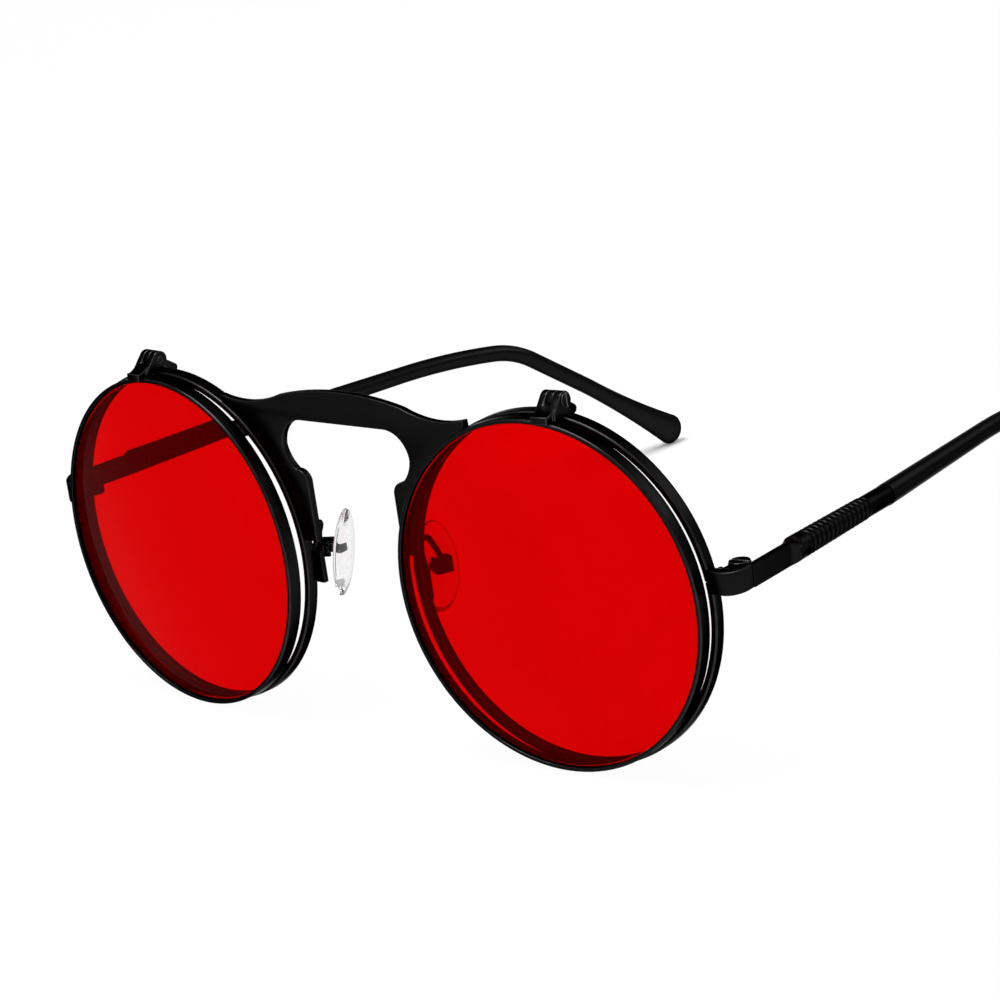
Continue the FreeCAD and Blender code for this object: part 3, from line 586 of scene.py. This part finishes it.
# Temple arms: round black rods moulded over the core wire, thinning from the collar, with a slow bow, a
# bend over the ear and a tip that flattens and flares to a rounded end.
ARM_R = 1.39
ARM_ROOT_R = 1.62
ARM_TOE = 2.11
ARM_LIFT = 0.43
BOW_START = 30.16
BOW_R = 138.3
BOW_ANGLE = 8.24
BEND_R = 20.19
BEND_ANGLE = 25.9
BEND_STEPS = 16
TIP_SECTIONS = ((14.0, 1.39, 0.0), (25.3, 1.73, 0.33), (35.38, 2.65, 0.55))
TIP_STEPS = 20
CAP_STEPS = 10
CAP_OPEN = 0.2
SEAT_DEPTH = 0.1
ARM_DEEP = [0.008, 0.008, 0.0085, 1]
ARM_PALE = [0.011, 0.011, 0.0115, 1]
ARM_EDGE = (0.45, 0.45, 0.45, 1)
BLOOM_SIZE = 2.6
GRIT_SIZE = 0.3
GRIT_HEIGHT = 0.003
CORE_GREY = [0.2] * 3
CORE_BRIGHT = [0.4] * 3
arm_black, field = new_finish("arm_plastic")
bloom = field.grain(BLOOM_SIZE)
grit = field.grain(GRIT_SIZE, FINE_DETAIL)
coat(arm_black, Base_Color=bloom.between(ARM_DEEP, ARM_PALE), Metallic=1.0, Specular_Tint=ARM_EDGE,
     Roughness=grit * 0.1 + bloom * 0.06 + 0.2, Normal=grit.relief(GRIT_HEIGHT))
core_steel = black_lacquer("core_steel", CORE_GREY, CORE_BRIGHT, roughness=0.3, edge_wear_and_highlight=0.5)


def through_sections(y, column):
    """A tip size at a distance, on the parabola through its three sections."""
    total = 0.0
    for here in TIP_SECTIONS:
        share = here[column]
        for other in TIP_SECTIONS:
            if other is not here:
                share *= (y - other[0]) / (here[0] - other[0])
        total += share
    return total


tip_start = TIP_SECTIONS[0][0]
tip_end, end_half, end_sag = TIP_SECTIONS[-1]
tip_stations = []
for step in range(CAP_STEPS, 0, -1):
    angle = math.pi / 2 * (step - CAP_OPEN) / CAP_STEPS
    shrink = math.cos(angle)
    tip_stations.append((tip_end + end_half * math.sin(angle), ARM_R * shrink, end_half * shrink, end_sag))
for step in range(TIP_STEPS, -1, -1):
    y = tip_start + (tip_end - tip_start) * step / TIP_STEPS
    tip_stations.append((y, ARM_R, through_sections(y, 1), through_sections(y, 2)))
tip_stations += [(tip_start / 2, ARM_R, ARM_R, 0.0), (0.0, ARM_R, ARM_R, 0.0)]
first_y, first_x, first_z, first_sag = tip_stations[0]
alone(bpy.ops.mesh.primitive_circle_add, vertices=ROD_SIDES, radius=1, rotation=(math.pi / 2, 0, 0))
bpy.ops.transform.resize(value=(first_x, 1, first_z), center_override=(0, 0, 0))
bpy.ops.transform.translate(value=(0, first_y, -first_sag))
for (last_y, last_x, last_z, last_sag), (y, half_x, half_z, sag) in zip(tip_stations, tip_stations[1:]):
    bpy.ops.mesh.extrude_region_move(TRANSFORM_OT_translate={"value": (0, y - last_y, last_sag - sag)})
    bpy.ops.transform.resize(value=(half_x / last_x, 1, half_z / last_z), center_override=(0, y, -sag))
here = Matrix.Identity(4)
for bend_r, angle in ((BEND_R, BEND_ANGLE), (BOW_R, BOW_ANGLE)):
    turn = math.radians(angle)
    centre = here @ Vector((0, 0, -bend_r))
    bpy.ops.mesh.spin(steps=BEND_STEPS, angle=turn, center=centre, axis=(-1, 0, 0))
    run = Vector((0, -bend_r * math.sin(turn), bend_r * (math.cos(turn) - 1)))
    here = here @ Matrix.Translation(run) @ turned(angle, "X")
arm_root = here @ Vector((0, -BOW_START - SEAT_DEPTH, 0))
bpy.ops.mesh.extrude_region_move(TRANSFORM_OT_translate={"value": arm_root - here.translation})
bpy.ops.transform.resize(value=[ARM_ROOT_R / ARM_R] * 3, center_override=arm_root)
cap(lambda middle: (middle - arm_root).length < 2 * ARM_ROOT_R)
cap(lambda middle: True)
on_sleeve = on_temple @ Matrix.Translation((0, SLEEVE_END, 0)) @ turned(ARM_TOE, "Z") @ turned(ARM_LIFT, "X")
from_root = (here @ Matrix.Translation((0, -BOW_START, 0))).inverted()
fitted_pair(closed(), "{}_bent_arm", on_sleeve @ from_root, "{}_temple_arm", "{}_temple",
            arm_black)
for side in SIDES:
    repainted(side + "_temple_core", core_steel)

# Nose pads: ovals moulded of clear silicone over a metal lug, which a small screw holds in a cup at the
# end of a looped wire. The wire's foot is soldered to the back of the eyewire.
PAD_AT = (11.47, 6.89, -0.11)
PAD_YAW = -23.5
PAD_HALF = (1.2, 3.5, 6.6)
PAD_BACK = 1.0
PAD_EASE = 0.08
PAD_MIDDLE = (-2.25, 0.1, -0.95)
PAD_SPLAY = -9.0
PAD_TILT = -4.5
WIRE_FOOT_FRONT = 3.4
WIRE_BEND_ANGLE = 45.0
LOOP_EASE = 0.05
CUP_EASE = 0.08
CUP_SCREW_EASE = 0.04
LUG_EASE = 0.05
PAD_CLEAR = [0.97, 0.97, 0.98, 1]
# Painted shade: the clear pad's colour turns grey toward its outline as the surface turns from view,
# standing in for refraction.
PAD_RIM_SHADE = [0.2, 0.2, 0.22, 1]
PAD_RIM_BAND = (0.4, 0.95)
MIST_SIZE = 1.5
MIST_HEIGHT = 0.01
LUG_GREY = [0.05] * 3
# Paler colour of the lug's marked edges: partly worn metal, partly a painted highlight.
LUG_RUBBED_AND_HIGHLIT = [0.25] * 3
clear_silicone, field = new_finish("clear_silicone")
mist = field.grain(MIST_SIZE, FINE_DETAIL)
# The darker outline is painted shade, taken from how far each point faces away from view.
rim_shade = field.node("LayerWeight", {}, {"Blend": 0.35}, "Facing").clipped(*PAD_RIM_BAND)
coat(clear_silicone, Base_Color=rim_shade.between(PAD_CLEAR, PAD_RIM_SHADE), IOR=1.41, Transmission_Weight=0.97,
     Roughness=mist * 0.12 + 0.03, Normal=mist.relief(MIST_HEIGHT))
lug_metal = black_lacquer("lug_metal", LUG_GREY, LUG_RUBBED_AND_HIGHLIT, roughness=0.25, edge_wear_and_highlight=1.0)
for side in SIDES:
    eased(side + "_pad_arm", side + "_looped_wire", "front", frame_lacquer, LOOP_EASE,
          angle=WIRE_BEND_ANGLE, flatten=(1, WIRE_FOOT_FRONT))
    eased(side + "_pad_box", side + "_pad_cup", "front", frame_lacquer, CUP_EASE)
    eased(side + "_pad_screw", side + "_cup_screw", "front", screw_steel, CUP_SCREW_EASE)
    eased(side + "_pad_insert", side + "_moulded_lug", side + "_pad", lug_metal, LUG_EASE)
alone(bpy.ops.mesh.primitive_uv_sphere_add, segments=64, ring_count=32, radius=1)
bpy.ops.transform.resize(value=PAD_HALF, center_override=(0, 0, 0))
bpy.ops.mesh.bisect(plane_co=(PAD_BACK, 0, 0), plane_no=(1, 0, 0), clear_outer=True, use_fill=True)
pick("EDGE", lambda e: all(abs(v.co.x - PAD_BACK) < SAME_PLACE for v in e.verts))
bpy.ops.mesh.bevel(offset=PAD_EASE, segments=4, affect="EDGES")
on_lug_end = (Matrix.Translation(PAD_AT) @ turned(PAD_YAW, "Z") @ Matrix.Translation(PAD_MIDDLE)
              @ turned(PAD_SPLAY, "Y") @ turned(PAD_TILT, "X"))
fitted_pair(closed(), "{}_silicone_pad", on_lug_end, "{}_nose_pad", "{}_pad", clear_silicone)

# Studio: an even pale sky, one broad lamp above, and a panel and a strip that draw the highlights along
# the wires. The floor glows white to the camera, and its shade shows only under the far temple's tip.
CAMERA_AT = (0.366082, -0.414389, 0.185870)
CAMERA_AZIMUTH = 43.831
CAMERA_ELEVATION = 16.836
CAMERA_ROLL = 8.274
FOCAL_LENGTH = 133.264
SENSOR_WIDTH = 36
FLOOR_SIZE = 12
FLOOR_WHITE = (0.9, 0.9, 0.9, 1)
FAR_TIP = (-0.049, 0.062, 0)
SHADE_NEAR = 0.012
SHADE_FAR = 0.04
SHADE_GLOW = 0.1
OPEN_GLOW = 0.97
LIGHT_WHITE = (1, 1, 1, 1)
SKY_STRENGTH = 0.45
bpy.ops.object.camera_add()
camera = bpy.context.object
camera.matrix_world = (Matrix.Translation(CAMERA_AT) @ turned(CAMERA_AZIMUTH, "Z")
                       @ turned(90 - CAMERA_ELEVATION, "X") @ turned(-CAMERA_ROLL, "Z"))
camera.data.lens = FOCAL_LENGTH
camera.data.sensor_width = SENSOR_WIDTH
camera.data.clip_start = 0.01
bpy.context.scene.camera = camera
bpy.ops.mesh.primitive_plane_add(size=FLOOR_SIZE)
floor = bpy.context.object
floor.name = "white_floor"
white_floor, field = new_finish("white_floor")
coat(white_floor, Base_Color=FLOOR_WHITE, Roughness=0.9, Specular_IOR_Level=0.0)
camera_ray = field.node("LightPath", {}, {}, "Is Camera Ray")
glossy_ray = field.node("LightPath", {}, {}, "Is Glossy Ray")
clear_ray = field.node("LightPath", {}, {}, "Is Transmission Ray")
from_tip = field.node("VectorMath", {"operation": "DISTANCE"},
                      {0: field.node("TexCoord", {}, {}, "Object"), 1: FAR_TIP}, "Value")
open_floor = from_tip.clipped(SHADE_NEAR, SHADE_FAR) * (OPEN_GLOW - SHADE_GLOW) + SHADE_GLOW
seen = (camera_ray + glossy_ray + clear_ray).clipped(0, 1) * open_floor
glow = field.node("Emission", {}, {"Color": LIGHT_WHITE, "Strength": 1.0})
floor_nodes = white_floor.node_tree.nodes
card = Field(white_floor.node_tree, floor_nodes["Principled BSDF"].outputs[0])
surface = field.node("MixShader", {}, {0: seen, 1: card, 2: glow})
white_floor.node_tree.links.new(surface.socket, floor_nodes["Material Output"].inputs[0])
floor.data.materials.append(white_floor)
world = bpy.data.worlds.new("pale_sky")
bpy.context.scene.world = world
world.use_nodes = True
sky = world.node_tree.nodes["Background"]
sky.inputs["Color"].default_value = LIGHT_WHITE
sky.inputs["Strength"].default_value = SKY_STRENGTH


def lamp(name, at, aim, width, height, power):
    bpy.ops.object.light_add(type="AREA", location=at)
    made = bpy.context.object
    made.name = name
    made.data.shape = "RECTANGLE"
    made.data.size = width
    made.data.size_y = height
    made.data.energy = power
    made.rotation_euler = (Vector(aim) - Vector(at)).to_track_quat("-Z", "Y").to_euler()


lamp("broad_lamp", at=(-0.1, -0.2, 0.9), aim=(0, 0, 0.03), width=0.5, height=0.5, power=7.0)
lamp("back_panel", at=(0.3, 0.9, 0.6), aim=(0, -0.05, 0.03), width=0.9, height=0.4, power=3.0)
lamp("front_strip", at=(-0.35, -0.8, 0.55), aim=(0, -0.05, 0.03), width=0.06, height=0.6, power=1.2)
bpy.context.scene.view_settings.view_transform = "Standard"
